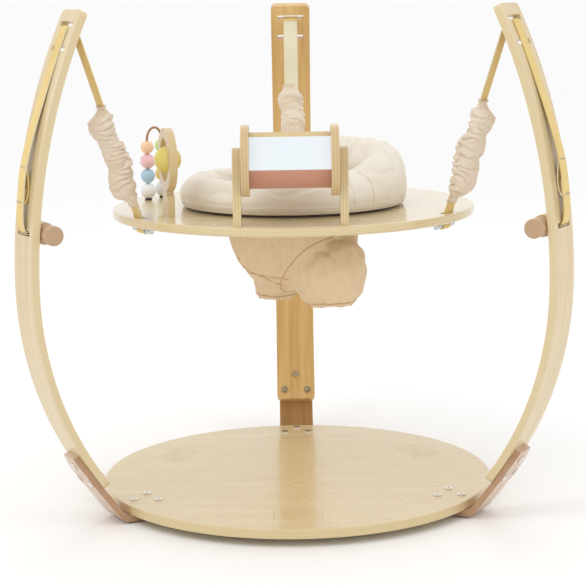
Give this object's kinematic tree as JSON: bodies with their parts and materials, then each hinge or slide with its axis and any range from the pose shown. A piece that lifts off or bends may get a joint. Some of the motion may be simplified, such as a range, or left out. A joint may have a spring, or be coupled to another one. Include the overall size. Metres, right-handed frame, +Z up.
{
  "type": "activity jumper",
  "caption": "Wooden activity jumper: a round seat tray with toys, hung on gathered elastic straps between bent plywood posts over a round plywood base.",
  "frame": {"origin": "middle of the overall box, on the floor", "axes": "+Z up, +Y towards the rear post, +X to the right seen from the roller toy's side"},
  "size_m": [0.8514, 0.7913, 0.7992],
  "materials": {
    "base_ply": "clear satin lacquer on birch plywood",
    "inlay_ply": "clear satin lacquer on birch plywood",
    "bracket_veneer": "clear satin lacquer on bent beech veneer",
    "post_ply": "clear satin lacquer on laminated birch",
    "nickel": "bright nickel plate",
    "felt": "dense dark felt",
    "dowel_wood": "bare sanded hardwood",
    "webbing": "woven cotton webbing",
    "elastic": "braided elastic",
    "sleeve_cloth": "gathered cotton canvas",
    "tray_ply": "glossy clear lacquer on birch plywood",
    "bar_steel": "zinc plated",
    "screw_steel": "zinc plated",
    "seat_plastic": "moulded, dark",
    "collar_cloth": "padded cotton canvas",
    "pouch_cloth": "soft cotton canvas",
    "tab_cloth": "folded twill tape",
    "toy_beech": "waxed beech",
    "walnut": "dark stained washer",
    "pink_paint": "satin paint on plywood",
    "mirror": "acrylic mirror sheet",
    "yellow_paint": "satin paint on beech",
    "copper_wire": "brown coated wire",
    "black_rubber": "moulded grommet",
    "bead_white": "satin paint on beech",
    "bead_blue": "satin paint on beech",
    "bead_pink": "satin paint on beech",
    "bead_orange": "satin paint on beech",
    "bead_green": "satin paint on beech",
    "bead_sand": "satin paint on beech"
  },
  "bodies": {
    "frame": {"base_disc": "base_ply", "base_inlay_plugs": "inlay_ply", "bracket_rear": "bracket_veneer", "bracket_front_left": "bracket_veneer", "bracket_front_right": "bracket_veneer", "post_rear": "post_ply", "post_front_left": "post_ply", "post_front_right": "post_ply", "post_bolts": "nickel", "post_sleeve_nuts": "nickel", "base_bolts": "nickel", "base_sleeve_nuts": "nickel", "foot_pads": "felt", "adjusting_strap_rear": "webbing", "adjusting_strap_front_left": "webbing", "adjusting_strap_front_right": "webbing"},
    "tray": {"tray_disc": "tray_ply", "tray_strap_ends": "webbing", "strap_stop_bars": "bar_steel", "toy_screws": "screw_steel", "drum_upright_left": "toy_beech", "drum_upright_right": "toy_beech", "drum_axle": "toy_beech", "drum_spacers": "walnut", "ball_stand": "toy_beech", "ball_axle": "toy_beech", "bead_wire": "copper_wire", "wire_grommets": "black_rubber", "elastic_cores": "elastic", "hanger_strap_rear": "webbing", "hanger_strap_front_left": "webbing", "hanger_strap_front_right": "webbing", "gathered_sleeve_rear": "sleeve_cloth", "gathered_sleeve_front_left": "sleeve_cloth", "gathered_sleeve_front_right": "sleeve_cloth"},
    "seat": {"seat_ring": "seat_plastic", "seat_retainer": "seat_plastic", "seat_collar": "collar_cloth", "seat_pouch": "pouch_cloth", "seat_tab": "tab_cloth"},
    "drum": {"drum_disc_left": "toy_beech", "drum_disc_right": "toy_beech", "drum_board_front": "pink_paint", "drum_board_top": "toy_beech", "drum_board_rear": "toy_beech", "drum_board_bottom": "pink_paint", "drum_mirror": "mirror"},
    "ball": {"toy_ball": "yellow_paint"},
    "beads_left": {"bead_white_left": "bead_white", "bead_blue": "bead_blue", "bead_pink": "bead_pink", "bead_orange": "bead_orange"},
    "beads_right": {"bead_white_right": "bead_white", "bead_yellow": "yellow_paint", "bead_sand": "bead_sand", "bead_green": "bead_green"},
    "peg_rear": {"toggle_dowel_rear": "dowel_wood"},
    "peg_front_left": {"toggle_dowel_front_left": "dowel_wood"},
    "peg_front_right": {"toggle_dowel_front_right": "dowel_wood"}
  },
  "joints": [
    {"name": "tray_bounce", "type": "slide", "parent": "frame", "child": "tray", "axis": [0, 0, 1], "range_m": [-0.09, 0.03], "stiffness_N_per_m": 1100, "springref_m": 0.03732, "deforming": ["hanger_strap_rear", "hanger_strap_front_left", "hanger_strap_front_right", "elastic_cores", "gathered_sleeve_rear", "gathered_sleeve_front_left", "gathered_sleeve_front_right"]},
    {"name": "seat_swivel", "type": "hinge", "parent": "tray", "child": "seat", "pos_m": [0, -0.0757, 0.479], "axis": [0, 0, 1], "continuous": true},
    {"name": "drum_spin", "type": "hinge", "parent": "tray", "child": "drum", "pos_m": [-0.004, -0.3297, 0.575], "axis": [1, 0, 0], "continuous": true},
    {"name": "ball_spin", "type": "hinge", "parent": "tray", "child": "ball", "pos_m": [-0.193, -0.2117, 0.5675], "axis": [-0.2588, 0.9659, 0], "continuous": true},
    {"name": "beads_left_lift", "type": "slide", "parent": "tray", "child": "beads_left", "axis": [0, 0, 1], "range_m": [0, 0.005]},
    {"name": "beads_right_lift", "type": "slide", "parent": "tray", "child": "beads_right", "axis": [0, 0, 1], "range_m": [0, 0.005]},
    {"name": "peg_rear_pull", "type": "slide", "parent": "frame", "child": "peg_rear", "axis": [-1, 0, 0], "range_m": [-0.03, 0.08]},
    {"name": "peg_front_left_pull", "type": "slide", "parent": "frame", "child": "peg_front_left", "axis": [0.5, -0.866, 0], "range_m": [-0.03, 0.08]},
    {"name": "peg_front_right_pull", "type": "slide", "parent": "frame", "child": "peg_front_right", "axis": [0.5, 0.866, 0], "range_m": [-0.03, 0.08]}
  ]
}
